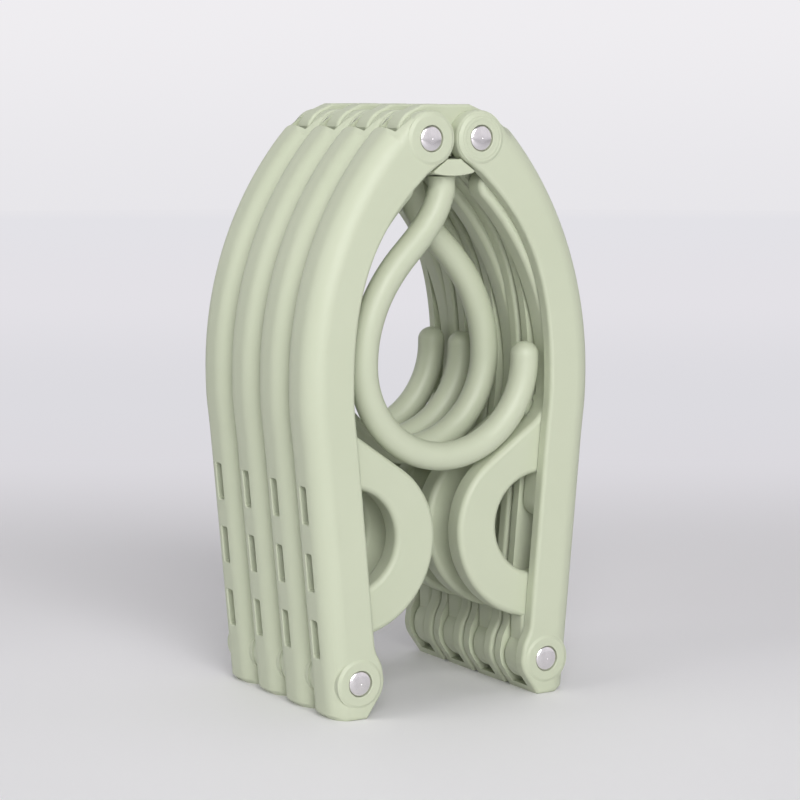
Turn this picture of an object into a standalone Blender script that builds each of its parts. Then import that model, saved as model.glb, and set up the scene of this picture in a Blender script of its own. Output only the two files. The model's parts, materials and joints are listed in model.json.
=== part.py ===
"""Four folding travel hangers, folded and standing on their arm tips one behind another.

Each hanger has a hub, a swivel hook, two channel-shaped arms that fold on hub rivets,
and two trouser bars that nest in the arms and fold on rivets at the arm tips.
Metres. +Z is up, -Y is the front, and the origin is on the floor under the stack's middle.
"""
import bpy
import bmesh
from math import atan2, cos, pi, radians, sin, sqrt
from mathutils import Matrix, Vector

# The stack
hanger_names = ("1", "2", "3", "4")
turned_hooks = ("2",)
hanger_gap = 0.0004

# Clearances that several pieces share, and how far cutters run past what they cut
running_gap = 0.0004
overrun = 0.0030

# Arm: a channel, open to the inner side, with a web, two ears and an eye
arm_half_span = 0.0520
arm_width = 0.0163
arm_depth = 0.0176
ear_wall = 0.0030
web_wall = 0.0022
web_corner_radius = 0.0050
rim_radius = 0.0008
eye_radius = 0.0086
eye_middle_gap = 0.0004
boss_rise = 0.0005
eye_boss_inset = 0.0012
tip_inset = 0.0176
tip_boss_radius = 0.0072
tip_flare_margin = 0.0017
foot_corner = 0.0016
foot_inner_reach = 0.0028
foot_outer_reach = 0.0086
notch_depth = 0.0042
slot_length = 0.0119
slot_width = 0.0039
slot_spacing = 0.0091
first_slot_rise = 0.0134
slot_count = 3

# Shares of the eye's radius, from the eye's middle, for the arm's bends beside the eye
shoulder_shares = (1.314, 0.549)
shoulder_handle_shares = (3.141, -1.291)
armpit_shares = (0.081, -1.257)
armpit_handle_shares = (1.884, -2.913)
# Shares of the rise between the pivots: the arm's widest place, and the end of its straight run
widest_share = 0.5525
widest_handle_share = 0.769
inner_handle_share = 0.757
straight_share = 0.417
# How far the straight run's end stands in, as a share of the half span
straight_inset_share = 0.0327
# Where the foot's flare leaves the ear's edge, as a share of the flare's radius
flare_start_share = 1.25
flare_top_angle = radians(152)
flare_low_angle = radians(215)
eye_start_angle = radians(42)
eye_end_angle = radians(245)
# The web's rounding has a ring of points this many rim radii deep, as a share
web_step_share = 1.6
# The notch's width at the web's end, as a share of the channel's
notch_width_share = 0.84

# Bar: one moulding with a knob, a dip with a retaining finger, and a long rail
bar_rim_radius = 0.0018
knob_radius = 0.0082
knob_sole_gap = 0.0011
knob_outer_drop = 0.0035
knob_start_angle = -radians(60)
column_web_gap = 0.0008
column_inset = 0.0023
column_length = 0.0108
dip_centre_inset = 0.0040
dip_half_gap = 0.0052
dip_wall = 0.0110
dip_hole_shift = 0.0015
rail_web_gap = 0.0018
rail_set_back = 0.0018
rail_widest_drop = 0.0019
rail_tip_gap = 0.00335
rail_tip_angle = -radians(61.9)
rail_extra_lean_angle = radians(2.35)
shoulder_ease_angle = radians(1.2)
# How much of the way to the rail the dip's shoulder runs before it rounds, as a share
shoulder_round_share = 0.88
# The height of the finger's end over the dip's middle, as a share of the hole's radius
finger_end_share = 0.184

# Hub: a plate between the ears, with a lip before and behind the hook's socket
hub_end_inset = 0.0004
hub_stop_rise = 0.0023
hub_top_half_width = 0.0058
hub_corner = 0.0010
hub_bottom_half_width = 0.0070
hub_stop_angle = radians(107)
hub_low_angle = -radians(110)
lip_inset = 0.0007
lip_bottom_drop = 0.0029
lip_top_rise = 0.0023
lip_half_width = 0.0074
lip_end_rise = 0.0014
lip_corner_rise = 0.0005
lip_low_angle = -radians(120)
chamber_side_gap = 0.0008
chamber_top_gap = 0.0014

# Hook: a round rod whose pin turns in the hub's socket
hook_ring_x = 0.0016
hook_ear_gap = 0.0002
hook_dip_gap = 0.0003
hook_neck_drop = 0.02374
hook_rod_radius = 0.0043
hook_neck_radius = 0.0037
hook_pin_radius = 0.0022
hook_pin_head_step = 0.0009
hook_pin_head_height = 0.0022
hook_end_rounding = 0.0030
hook_tip_angle = radians(2)
hook_end_angles = (radians(40), radians(70))
# Shares of the ring's radius that shape the hook's neck
neck_start_handle_share = 0.57
neck_middle_shares = (-0.50, 1.155)
neck_handle_share = 0.30
neck_middle_angle = radians(46)
neck_end_angle = radians(76)

# Rivets
rivet_head_radius = 0.0039
rivet_shank_radius = 0.0020
rivet_hole_gap = 0.0003
rivet_head_rim = 0.0003
rivet_recess_depth = 0.0016
rivet_sunk = 0.00005
# The dome's middle ring: its share of the head's radius and of the dome's height
dome_ring_share = 0.62
dome_height_share = 0.66
clinch_share = 0.55

# Edges sharper than this stay as creases
moulding_crease_angle = radians(40)
rivet_crease_angle = radians(50)

# Counts of facets
bend_steps = 5
ease_steps = 2
eye_steps = 7
flare_steps = 3
knob_steps = 5
dip_steps = 6
hole_steps = 7
rail_steps = 5
round_end_steps = 4
lens_steps = 3
lip_steps = 2
ring_steps = 12
neck_steps = 4
rod_sides = 8
rivet_sides = 8
pad_sides = 10
bore_sides = 8

# Across the depth: ears outside, then the layer of the hub and the bars
channel_depth = arm_depth - 2 * ear_wall
middle_depth = channel_depth - 2 * running_gap
lip_depth = arm_depth - 2 * lip_inset
boss_depth = arm_depth + 2 * boss_rise
hanger_pitch = boss_depth + hanger_gap

# Across the width: the arm, then what nests in it from the foot up
arm_inner_x = arm_half_span - arm_width
tip_pivot_x = arm_half_span - tip_inset
foot_inner_x = tip_pivot_x - foot_inner_reach
foot_outer_x = tip_pivot_x + foot_outer_reach
column_inner_x = tip_pivot_x - knob_radius + column_inset
column_outer_x = foot_outer_x - web_wall - column_web_gap
dip_centre_x = column_inner_x + dip_centre_inset
dip_outer_radius = dip_centre_x - dip_half_gap
dip_hole_radius = dip_outer_radius - dip_wall
dip_hole_x = dip_centre_x + dip_hole_shift
rail_inner_x = arm_inner_x + rail_set_back
rail_width = arm_width - rail_set_back - rail_web_gap - web_wall
hook_ring_radius = arm_inner_x - hook_ear_gap - hook_rod_radius - hook_ring_x

# Up the height: the knob stands over the sole, the dip over the knob, and the hook's ring
# nests on the dips, and its neck carries the hub
hub_bottom_drop = eye_radius + lip_bottom_drop
foot_drop = web_wall + knob_sole_gap + knob_radius
knob_reach = sqrt(knob_radius**2 - (tip_pivot_x - column_inner_x)**2)
dip_reach = sqrt(dip_outer_radius**2 - dip_centre_inset**2)
dip_centre_rise = knob_reach + column_length + dip_reach
nest_reach = hook_ring_radius + hook_rod_radius + hook_dip_gap + dip_outer_radius
nest_rise = sqrt(nest_reach**2 - (dip_centre_x - hook_ring_x)**2)
hook_ring_rise = dip_centre_rise + nest_rise
neck_rise = hook_ring_radius * neck_middle_shares[1] + hook_neck_drop
pivot_rise = hook_ring_rise + neck_rise + running_gap + hub_bottom_drop

# Hub's own places
hub_pivot = Vector((eye_radius + eye_middle_gap, 0, foot_drop + pivot_rise))
tip_pivot = Vector((tip_pivot_x, 0, foot_drop))
hub_end_radius = eye_radius - hub_end_inset
lip_top_drop = eye_radius - lip_top_rise
chamber_floor = hub_pivot.z - lip_top_drop
hook_root_z = hub_pivot.z - hub_bottom_drop - running_gap
tip_flare_radius = tip_boss_radius + tip_flare_margin


def clean_scene():
    """Remove every object and mesh that the file opened with."""
    for thing in list(bpy.data.objects):
        bpy.data.objects.remove(thing, do_unlink=True)
    for mesh in list(bpy.data.meshes):
        bpy.data.meshes.remove(mesh)


def plain_material(name, colour, roughness, metallic):
    """A Principled material of one colour."""
    material = bpy.data.materials.new(name)
    material.use_nodes = True
    shader = material.node_tree.nodes["Principled BSDF"]
    shader.inputs["Base Color"].default_value = (*colour, 1)
    shader.inputs["Roughness"].default_value = roughness
    shader.inputs["Metallic"].default_value = metallic
    material.diffuse_color = (*colour, 1)
    return material


def point(x, z):
    """A point of an outline, in the hanger's plane."""
    return Vector((x, 0, z))


def arc(centre, radius, start, end, steps):
    """Points on a circle in the XZ plane, from one angle to another, both ends included."""
    angles = [start + (end - start) * k / steps for k in range(steps + 1)]
    return [centre + radius * point(cos(a), sin(a)) for a in angles]


def bezier(ends, steps):
    """Points on a cubic curve through four control points, both ends included."""
    a, b, c, d = ends
    places = []
    for k in range(steps + 1):
        t = k / steps
        s = 1 - t
        places.append(s**3 * a + 3 * s * s * t * b + 3 * s * t * t * c + t**3 * d)
    return places


def outward_normals(places):
    """Unit normals of a closed outline that runs counter-clockwise as the front sees it."""
    normals = []
    for k, here in enumerate(places):
        before = (here - places[k - 1]).normalized()
        after = (places[(k + 1) % len(places)] - here).normalized()
        along = before + after
        normals.append(point(along.z, -along.x).normalized())
    return normals


def counter_clockwise(places):
    """The same outline, counter-clockwise as the front sees it."""
    area = sum(a.x * b.z - b.x * a.z for a, b in zip(places, places[1:] + places[:1]))
    return places if area > 0 else places[::-1]


def loft(layers):
    """A closed mesh through equal rings of points, from the front ring to the rear one."""
    shape = bmesh.new()
    rings = [[shape.verts.new(place) for place in layer] for layer in layers]
    count = len(rings[0])
    for front, rear in zip(rings, rings[1:]):
        for k in range(count):
            n = (k + 1) % count
            shape.faces.new((front[k], front[n], rear[n], rear[k]))
    shape.faces.new(rings[0])
    shape.faces.new(rings[-1][::-1])
    bmesh.ops.recalc_face_normals(shape, faces=shape.faces)
    return shape


def rounded_slab(places, depth, radius, steps=1):
    """A plate of this outline, whose front and rear rims are rounded."""
    places = counter_clockwise(places)
    normals = outward_normals(places)
    turns = [pi / 2 * k / steps for k in range(steps, -1, -1)]
    levels = [(radius * (1 - sin(turn)) - depth / 2, radius * (1 - cos(turn))) for turn in turns]
    layers = []
    for y, inset in levels + [(-y, inset) for y, inset in reversed(levels)]:
        layers.append([place - normal * inset + Vector((0, y, 0))
                       for place, normal in zip(places, normals)])
    return loft(layers)


def slab(places, front, rear):
    """A plate of this outline with sharp rims."""
    places = counter_clockwise(places)
    return loft([[place + Vector((0, y, 0)) for place in places] for y in (front, rear)])


def turned(profile, sides, centre):
    """A closed body turned about the Y axis through the centre, from (radius, y) pairs."""
    shape = bmesh.new()
    rings = []
    for radius, y in profile:
        count = sides if radius > 0 else 1
        rings.append([shape.verts.new(centre + Vector((radius * cos(2 * pi * k / sides), y,
                                                       radius * sin(2 * pi * k / sides))))
                      for k in range(count)])
    for near, far in zip(rings, rings[1:]):
        for k in range(sides):
            n = (k + 1) % sides
            corners = [near[k % len(near)], near[n % len(near)], far[n % len(far)], far[k % len(far)]]
            shape.faces.new(list(dict.fromkeys(corners)))
    for ring in (rings[0], rings[-1]):
        if len(ring) > 1:
            shape.faces.new(ring)
    bmesh.ops.recalc_face_normals(shape, faces=shape.faces)
    return shape


def swept_rod(stations, sides):
    """A closed round rod through (place, direction, radius) stations in the XZ plane."""
    layers = []
    for place, along, radius in stations:
        across = point(along.z, -along.x).normalized()
        ring = []
        for k in range(sides):
            turn = 2 * pi * (k + 0.5) / sides
            ring.append(place + radius * (across * cos(turn) + Vector((0, sin(turn), 0))))
        layers.append(ring)
    return loft(layers)


def to_object(shape, name, material=None):
    """Write a bmesh to a new object."""
    mesh = bpy.data.meshes.new(name)
    shape.to_mesh(mesh)
    shape.free()
    thing = bpy.data.objects.new(name, mesh)
    bpy.context.scene.collection.objects.link(thing)
    if material:
        mesh.materials.append(material)
    return thing


def combined(base, tools):
    """The base object's mesh after each (operation, bmesh) pair, with the EXACT solver."""
    helpers = []
    for k, (operation, shape) in enumerate(tools):
        helper = to_object(shape, f"{base.name}_tool_{k}")
        helper.hide_render = True
        helper.display_type = "WIRE"
        modifier = base.modifiers.new(operation, "BOOLEAN")
        modifier.operation = operation
        modifier.solver = "EXACT"
        modifier.object = helper
        helpers.append(helper)
    bpy.context.view_layer.update()
    evaluated = base.evaluated_get(bpy.context.evaluated_depsgraph_get())
    mesh = bpy.data.meshes.new_from_object(evaluated)
    materials = list(base.data.materials)
    bpy.data.objects.remove(base, do_unlink=True)
    for helper in helpers:
        bpy.data.objects.remove(helper, do_unlink=True)
    mesh.materials.clear()
    for material in materials:
        mesh.materials.append(material)
    return mesh


def smooth(mesh, angle=moulding_crease_angle):
    """Smooth shading that keeps the creases."""
    mesh.shade_smooth()
    mesh.set_sharp_from_angle(angle=angle)
    return mesh


def moved(mesh, shift):
    """The mesh with its origin moved to the place given."""
    mesh.transform(Matrix.Translation(-shift))
    return mesh


def mirrored(mesh, name):
    """A copy of the mesh for the other side of the hanger."""
    copy = mesh.copy()
    copy.name = name
    copy.transform(Matrix.Scale(-1, 4, Vector((1, 0, 0))))
    copy.flip_normals()
    return copy


def hole_radius(radius, gap):
    """The radius of a faceted hole that clears a round pin by this gap at its flats."""
    return (radius + gap) / cos(pi / bore_sides)


def arm_foot():
    """The outer lower corner of the foot, and the end of the web's straight run over it."""
    bend_x = arm_half_span * (1 - straight_inset_share)
    return point(foot_outer_x, 0), point(bend_x, foot_drop + pivot_rise * straight_share)


def arm_outer_edge():
    """The web's outer edge, from the foot up to the shoulder beside the eye."""
    foot, bend = arm_foot()
    widest = point(arm_half_span, foot_drop + pivot_rise * widest_share)
    rise = (bend - foot).normalized()
    ease = (widest.z - bend.z) / 2
    low = bezier((bend, bend + rise * ease, widest - point(0, ease), widest), ease_steps)
    shoulder = hub_pivot + eye_radius * point(*shoulder_shares)
    handle = hub_pivot + eye_radius * point(*shoulder_handle_shares)
    lift = point(arm_half_span, foot_drop + pivot_rise * widest_handle_share)
    high = bezier((widest, lift, handle, shoulder), bend_steps)
    return [foot + rise * foot_corner] + low + high[1:]


def arm_inner_edge():
    """The ears' inner edge, from beside the eye down to the flare of the foot."""
    foot, bend = arm_foot()
    armpit = hub_pivot + eye_radius * point(*armpit_shares)
    handle = hub_pivot + eye_radius * point(*armpit_handle_shares)
    widest = point(arm_inner_x, foot_drop + pivot_rise * widest_share)
    lift = point(arm_inner_x, foot_drop + pivot_rise * inner_handle_share)
    bend_in = bend - point(arm_width, 0)
    flare = foot_drop + tip_flare_radius * flare_start_share
    low = bend_in - (bend - foot) * ((bend.z - flare) / bend.z)
    return bezier((armpit, handle, lift, widest), bend_steps) + [bend_in, low]


def arm_outline():
    """The ear's outline with, for each point, how far the web's and the rim's rounding move it."""
    outer = arm_outer_edge()
    eye = arc(hub_pivot, eye_radius, eye_start_angle, eye_end_angle, eye_steps)
    inner = arm_inner_edge()
    flare = arc(tip_pivot, tip_flare_radius, flare_top_angle, flare_low_angle, flare_steps)
    sole = [point(foot_inner_x, 0), point(foot_outer_x - foot_corner, 0)]
    places = outer + eye + inner + flare + sole
    normals = outward_normals(places)
    web_pull = []
    rim_pull = []
    for k, normal in enumerate(normals):
        on_web = k < len(outer)
        web_pull.append(normal if on_web else Vector((0, 0, 0)))
        rim_pull.append(Vector((0, 0, 0)) if on_web else normal)
    # The sole's outer corner follows the web sideways and the rim upwards
    web_pull[-1] = point(1, 0)
    rim_pull[-1] = point(0, -1)
    web_pull[0] = point(1, 0)
    # The shoulder is a rim towards the eye and a web towards the arm
    web_pull[len(outer) - 1] = normals[len(outer) - 2]
    return places, web_pull, rim_pull


def arm_mesh(material):
    """The right arm, with its pivot in the hub as its origin."""
    places, web_pull, rim_pull = arm_outline()
    half = arm_depth / 2
    steps_in = (0, rim_radius * web_step_share, web_corner_radius)
    levels = []
    for step in steps_in:
        web = web_corner_radius - sqrt(web_corner_radius**2 - (web_corner_radius - step)**2)
        rim = max(rim_radius - step, 0)
        levels.append((-half + step, web, rim))
    layers = []
    for y, web, rim in levels + [(-y, web, rim) for y, web, rim in reversed(levels)]:
        layers.append([place - pull * web - lift * rim + Vector((0, y, 0))
                       for place, pull, lift in zip(places, web_pull, rim_pull)])
    body = to_object(loft(layers), "arm", material)

    tools = []
    for centre, radius in ((hub_pivot, eye_radius - eye_boss_inset), (tip_pivot, tip_boss_radius)):
        front = [(radius - boss_rise, -boss_depth / 2), (radius + boss_rise, boss_rise - arm_depth / 2)]
        pad = front + [(wide, -y) for wide, y in reversed(front)]
        tools.append(("UNION", turned(pad, pad_sides, centre)))
    tools.append(("DIFFERENCE", channel_cutter()))
    tools.append(("DIFFERENCE", notch_cutter()))
    for k in range(slot_count):
        tools.append(("DIFFERENCE", slot_cutter(k)))
    for centre in (hub_pivot, tip_pivot):
        tools.append(("DIFFERENCE", rivet_bore(centre)))
    return smooth(moved(combined(body, tools), hub_pivot))


def channel_cutter():
    """What is taken out between the ears: all but the web and the sole."""
    outer = arm_outer_edge()
    normals = outward_normals(outer + [tip_pivot])[1:len(outer) - 1]
    line = [place - normal * web_wall for place, normal in zip(outer[1:-1], normals)]
    end = outer[-1] - normals[-1] * web_wall
    outside = outer[-1] + (outer[-1] - hub_pivot).normalized() * overrun
    slope = (outer[1].x - outer[0].x) / (outer[1].z - outer[0].z)
    low = point(outer[0].x - web_wall + slope * (web_wall - outer[0].z), web_wall)
    mouth = point(tip_pivot_x - tip_flare_radius - overrun, web_wall)
    left = hub_pivot.x - eye_radius - overrun
    top = hub_pivot.z + eye_radius + overrun
    places = [low] + line + [end, outside, point(outside.x, top), point(left, top),
                             point(left, hub_pivot.z - eye_radius - overrun), mouth]
    return slab(places, -channel_depth / 2, channel_depth / 2)


def notch_cutter():
    """A wedge that notches the web's end beside the eye."""
    outer = arm_outer_edge()
    along = (outer[-1] - outer[-2]).normalized()
    away = point(along.z, -along.x)
    tip = outer[-1] - along * notch_depth
    wide = outer[-1] + along * overrun
    half = channel_depth / 2 * notch_width_share
    grow = (notch_depth + overrun) / notch_depth
    shape = bmesh.new()
    rings = []
    for reach in (-web_wall - overrun, overrun):
        shift = away * reach
        rings.append([shape.verts.new(tip + shift),
                      shape.verts.new(wide + shift + Vector((0, half * grow, 0))),
                      shape.verts.new(wide + shift - Vector((0, half * grow, 0)))])
    shape.faces.new(rings[0])
    shape.faces.new(rings[1][::-1])
    for k in range(3):
        n = (k + 1) % 3
        shape.faces.new((rings[0][k], rings[0][n], rings[1][n], rings[1][k]))
    bmesh.ops.recalc_face_normals(shape, faces=shape.faces)
    return shape


def slot_cutter(k):
    """One of the slots through the web, above the foot."""
    low = foot_drop + first_slot_rise + k * (slot_length + slot_spacing) - slot_length / 2
    top = low + slot_length
    far = arm_half_span + overrun
    box = [point(arm_inner_x, low), point(far, low), point(far, top), point(arm_inner_x, top)]
    return slab(box, -slot_width / 2, slot_width / 2)


def rivet_bore(centre):
    """The bore for a rivet through both ears, with the recesses for its heads."""
    outside = boss_depth / 2 + overrun
    floor = boss_depth / 2 - rivet_recess_depth
    wide = hole_radius(rivet_head_radius, rivet_hole_gap)
    narrow = hole_radius(rivet_shank_radius, rivet_hole_gap)
    profile = [(wide, -outside), (wide, -floor), (narrow, -floor),
               (narrow, floor), (wide, floor), (wide, outside)]
    return turned(profile, bore_sides, centre)


def meeting(start, along, other, other_along):
    """Where two straight lines of the hanger's plane meet."""
    across = along.x * other_along.z - along.z * other_along.x
    away = other - start
    return start + along * ((away.x * other_along.z - away.z * other_along.x) / across)


def rail_arc():
    """The centre, radius, start and end angle of the rail's middle line."""
    widest_z = foot_drop + pivot_rise * widest_share - rail_widest_drop
    widest = point(rail_inner_x + rail_width / 2, widest_z)
    reach = hub_end_radius + rail_tip_gap + rail_width / 2
    tip = hub_pivot + reach * point(cos(rail_tip_angle), sin(rail_tip_angle))
    run = widest.x - tip.x
    climb = tip.z - widest.z
    radius = (run**2 + climb**2) / (2 * run)
    centre = widest - point(radius, 0)
    foot, bend = arm_foot()
    lean_angle = atan2(bend.x - foot.x, bend.z) + rail_extra_lean_angle
    return centre, radius, -lean_angle, atan2(climb, tip.x - centre.x)


def bar_outline():
    """The outline of the right bar: knob, column, dip, rail and finger."""
    # Knob, clockwise from the column's outer side to its inner side
    end = atan2(knob_reach, column_inner_x - tip_pivot_x)
    outline = [point(column_outer_x, tip_pivot.z - knob_outer_drop)]
    outline += arc(tip_pivot, knob_radius, knob_start_angle, end - 2 * pi, knob_steps)
    # Dip, from the column round to where its shoulder runs straight under the hook's ring
    dip = point(dip_centre_x, foot_drop + dip_centre_rise)
    start = atan2(-dip_reach, -dip_centre_inset)
    leave_angle = atan2(nest_rise, hook_ring_x - dip_centre_x) - shoulder_ease_angle
    outline += arc(dip, dip_outer_radius, start, leave_angle - 2 * pi, dip_steps)
    # Shoulder, and the rail's inner edge
    centre, middle, low_angle, top_angle = rail_arc()
    inner = middle - rail_width / 2
    lean = point(-sin(low_angle), cos(low_angle))
    leave = outline[-1]
    slope = point(sin(leave_angle), -cos(leave_angle))
    corner = meeting(leave, slope, centre + inner * point(cos(low_angle), sin(low_angle)), lean)
    outline.append(leave + (corner - leave) * shoulder_round_share)
    outline.append(corner + lean * (corner - leave).length * (1 - shoulder_round_share))
    outline += arc(centre, inner, low_angle, top_angle, rail_steps)[1:]
    # Tip, and the rail's outer edge
    tip = centre + middle * point(cos(top_angle), sin(top_angle))
    outline += arc(tip, rail_width / 2, top_angle + pi, top_angle, round_end_steps)[1:]
    outline += arc(centre, inner + rail_width, top_angle, low_angle, rail_steps)[1:]
    # Finger, which hangs over the dip's mouth
    end_z = dip.z + dip_hole_radius * finger_end_share
    low = centre + middle * point(cos(low_angle), sin(low_angle))
    finger = low - lean * ((low.z - end_z - rail_width / 2) / lean.z)
    outline += arc(finger, rail_width / 2, low_angle, low_angle - pi, round_end_steps)
    # Dip's hole, from the finger round to the column
    hole = point(dip_hole_x, dip.z)
    away = outline[-1] - hole
    along = away.dot(lean)
    top = away + lean * (sqrt(along**2 - away.length_squared + dip_hole_radius**2) - along)
    side = column_outer_x - dip_hole_x
    end = atan2(-sqrt(dip_hole_radius**2 - side**2), side) + 2 * pi
    outline += arc(hole, dip_hole_radius, atan2(top.z, top.x), end, hole_steps)
    return outline


def bar_mesh(material):
    """The right bar, with its pivot in the arm's tip as its origin."""
    body = to_object(rounded_slab(bar_outline(), middle_depth, bar_rim_radius), "bar", material)
    return smooth(moved(combined(body, [("DIFFERENCE", shank_bore(tip_pivot))]), tip_pivot))


def shank_bore(centre):
    """A bore through a piece of the middle layer for a rivet's shank."""
    narrow = hole_radius(rivet_shank_radius, rivet_hole_gap)
    return turned([(narrow, -arm_depth), (narrow, arm_depth)], bore_sides, centre)


def both_sides(half):
    """A whole outline from the half at +X, whose first and last points lie in the middle."""
    return half + [point(-place.x, place.z) for place in reversed(half[1:-1])]


def lens_bottom():
    """The hub's bowed underside, from its side at +X to the middle."""
    bottom = hub_pivot.z - hub_bottom_drop
    shares = [k / lens_steps for k in range(lens_steps, -1, -1)]
    bow = [point(hub_bottom_half_width * s, bottom + lip_corner_rise * s * s) for s in shares]
    return [point(lip_half_width, bottom + lip_end_rise)] + bow


def hub_outline():
    """The plate between the ears, round about each rivet and raised in the middle as a stop."""
    top = hub_pivot.z + hub_end_radius + hub_stop_rise
    half = [point(0, top), point(hub_top_half_width - hub_corner, top),
            point(hub_top_half_width, top - hub_corner)]
    half += arc(hub_pivot, hub_end_radius, hub_stop_angle, hub_low_angle, eye_steps)
    return both_sides(half + lens_bottom())


def lip_outline():
    """The lens under the eyes that closes the hook's socket, before and behind."""
    reach = eye_radius + running_gap
    side = hub_pivot.x - sqrt(reach**2 - lip_top_drop**2)
    start = atan2(-lip_top_drop, side - hub_pivot.x)
    half = [point(0, chamber_floor), point(side, chamber_floor)]
    half += arc(hub_pivot, reach, start, lip_low_angle, lip_steps)[1:]
    return both_sides(half + lens_bottom())


def hub_mesh(material):
    """The hub, with the middle of the line between its rivets as its origin."""
    body = to_object(rounded_slab(hub_outline(), middle_depth, rim_radius), "hub", material)
    lip = rounded_slab(lip_outline(), lip_depth, rim_radius)
    half = hook_pin_radius + hook_pin_head_step + chamber_side_gap
    top = chamber_floor + running_gap + hook_pin_head_height + chamber_top_gap
    chamber = slab([point(-half, chamber_floor), point(half, chamber_floor), point(half, top),
                    point(-half, top)], -lip_depth, lip_depth)
    socket_wide = hole_radius(hook_pin_radius, running_gap)
    socket = turned([(socket_wide, -lip_depth), (socket_wide, 0)], bore_sides, point(0, 0))
    bmesh.ops.transform(socket, matrix=Matrix.Translation(point(0, (chamber_floor + top) / 2))
                        @ Matrix.Rotation(pi / 2, 4, "X")
                        @ Matrix.Rotation(pi / bore_sides, 4, "Y"), verts=socket.verts)
    tools = [("UNION", lip), ("DIFFERENCE", chamber), ("DIFFERENCE", socket)]
    for side in (1, -1):
        tools.append(("DIFFERENCE", shank_bore(point(side * hub_pivot.x, hub_pivot.z))))
    return smooth(moved(combined(body, tools), point(0, hub_pivot.z)))


def hook_mesh(material):
    """The hook, with the foot of its pin's axis as its origin."""
    ring = point(hook_ring_x, foot_drop + hook_ring_rise)
    root = point(0, hook_root_z)
    head_low = chamber_floor + running_gap
    head_radius = hook_pin_radius + hook_pin_head_step
    down = point(0, -1)
    # Pin and its head, from the top down
    head_top = head_low + hook_pin_head_height
    stations = [(point(0, head_top), down, head_radius),
                (point(0, head_low + running_gap), down, head_radius),
                (point(0, head_low), down, hook_pin_radius),
                (root, down, hook_pin_radius),
                (root, down, hook_neck_radius - running_gap),
                (root + down * running_gap, down, hook_neck_radius)]
    # Neck, two bends that meet on a slope
    middle = ring + hook_ring_radius * point(*neck_middle_shares)
    handle = hook_ring_radius * neck_handle_share
    slope = point(cos(neck_middle_angle), sin(neck_middle_angle)) * handle
    lead = point(cos(neck_end_angle), sin(neck_end_angle)) * handle
    low = root + down * hook_neck_radius
    left = ring - point(hook_ring_radius, 0)
    rise = point(0, hook_ring_radius * neck_start_handle_share)
    path = bezier((low, low - lead, middle + slope, middle), neck_steps)
    path += bezier((middle, middle - slope, left + rise, left), neck_steps)[1:]
    path += arc(ring, hook_ring_radius, pi, 2 * pi + hook_tip_angle, ring_steps)[1:]
    for k, place in enumerate(path):
        before = path[max(k - 1, 0)]
        after = path[min(k + 1, len(path) - 1)]
        swell = min(k / (2 * neck_steps), 1)
        radius = hook_neck_radius + (hook_rod_radius - hook_neck_radius) * swell
        stations.append((place, (after - before).normalized(), radius))
    # Rounded end
    last = path[-1]
    along = point(-sin(hook_tip_angle), cos(hook_tip_angle))
    for turn in hook_end_angles:
        stations.append((last + along * hook_end_rounding * sin(turn), along, hook_rod_radius * cos(turn)))
    shape = swept_rod(stations, rod_sides)
    body = to_object(shape, "hook", material)
    mesh = body.data.copy()
    bpy.data.objects.remove(body, do_unlink=True)
    return smooth(moved(mesh, root))


def rivet_mesh(material):
    """A rivet with a domed head before and a clinched head behind, about its own middle."""
    seat = boss_depth / 2 - rivet_recess_depth + rivet_hole_gap
    crown = boss_depth / 2 - rivet_sunk
    rim = seat + rivet_head_rim
    dome = [(0, crown), (rivet_head_radius * dome_ring_share, rim + (crown - rim) * dome_height_share),
            (rivet_head_radius, rim), (rivet_head_radius, seat), (rivet_shank_radius, seat)]
    clinch = [(rivet_shank_radius, seat), (rivet_head_radius, seat), (rivet_head_radius, rim),
              (rivet_head_radius * clinch_share, rim + (crown - rim) * dome_height_share)]
    profile = [(radius, -y) for radius, y in dome] + clinch
    body = to_object(turned(profile, rivet_sides, Vector((0, 0, 0))), "rivet", material)
    mesh = body.data.copy()
    bpy.data.objects.remove(body, do_unlink=True)
    return smooth(mesh, rivet_crease_angle)


def place(name, mesh, at, parent=None, turn=0):
    """An object of this mesh at a world place, parented without a change of place."""
    thing = bpy.data.objects.new(name, mesh)
    bpy.context.scene.collection.objects.link(thing)
    thing.location = at
    thing.rotation_euler = (0, 0, turn)
    if parent:
        thing.parent = parent
        bpy.context.view_layer.update()
        thing.matrix_parent_inverse = parent.matrix_world.inverted()
    return thing


def build_stack():
    """Every hanger of the stack, from the front one back."""
    plastic = plain_material("sage_plastic", (0.56, 0.62, 0.45), 0.50, 0)
    steel = plain_material("rivet_steel", (0.70, 0.69, 0.68), 0.22, 1)
    right_arm = arm_mesh(plastic)
    left_arm = mirrored(right_arm, "left_arm")
    right_bar = bar_mesh(plastic)
    left_bar = mirrored(right_bar, "left_bar")
    hub_shape = hub_mesh(plastic)
    hook_shape = hook_mesh(plastic)
    rivet_shape = rivet_mesh(steel)
    middle = (len(hanger_names) - 1) / 2
    for k, number in enumerate(hanger_names):
        depth = Vector((0, (k - middle) * hanger_pitch, 0))
        hub = place(f"hub_{number}", hub_shape, depth + point(0, hub_pivot.z))
        root = depth + point(0, hook_root_z)
        place(f"hook_{number}", hook_shape, root, hub, pi if number in turned_hooks else 0)
        for side, arm_shape, bar_shape in (("left", left_arm, left_bar), ("right", right_arm, right_bar)):
            sign = 1 if side == "right" else -1
            top = depth + point(sign * hub_pivot.x, hub_pivot.z)
            tip = depth + point(sign * tip_pivot.x, tip_pivot.z)
            arm = place(f"{side}_arm_{number}", arm_shape, top, hub)
            place(f"{side}_bar_{number}", bar_shape, tip, arm)
            place(f"{side}_hub_rivet_{number}", rivet_shape, top, hub)
            place(f"{side}_tip_rivet_{number}", rivet_shape, tip, arm)


clean_scene()
build_stack()
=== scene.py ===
import json
from math import atan2, cos, pi, radians, sin, sqrt

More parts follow.
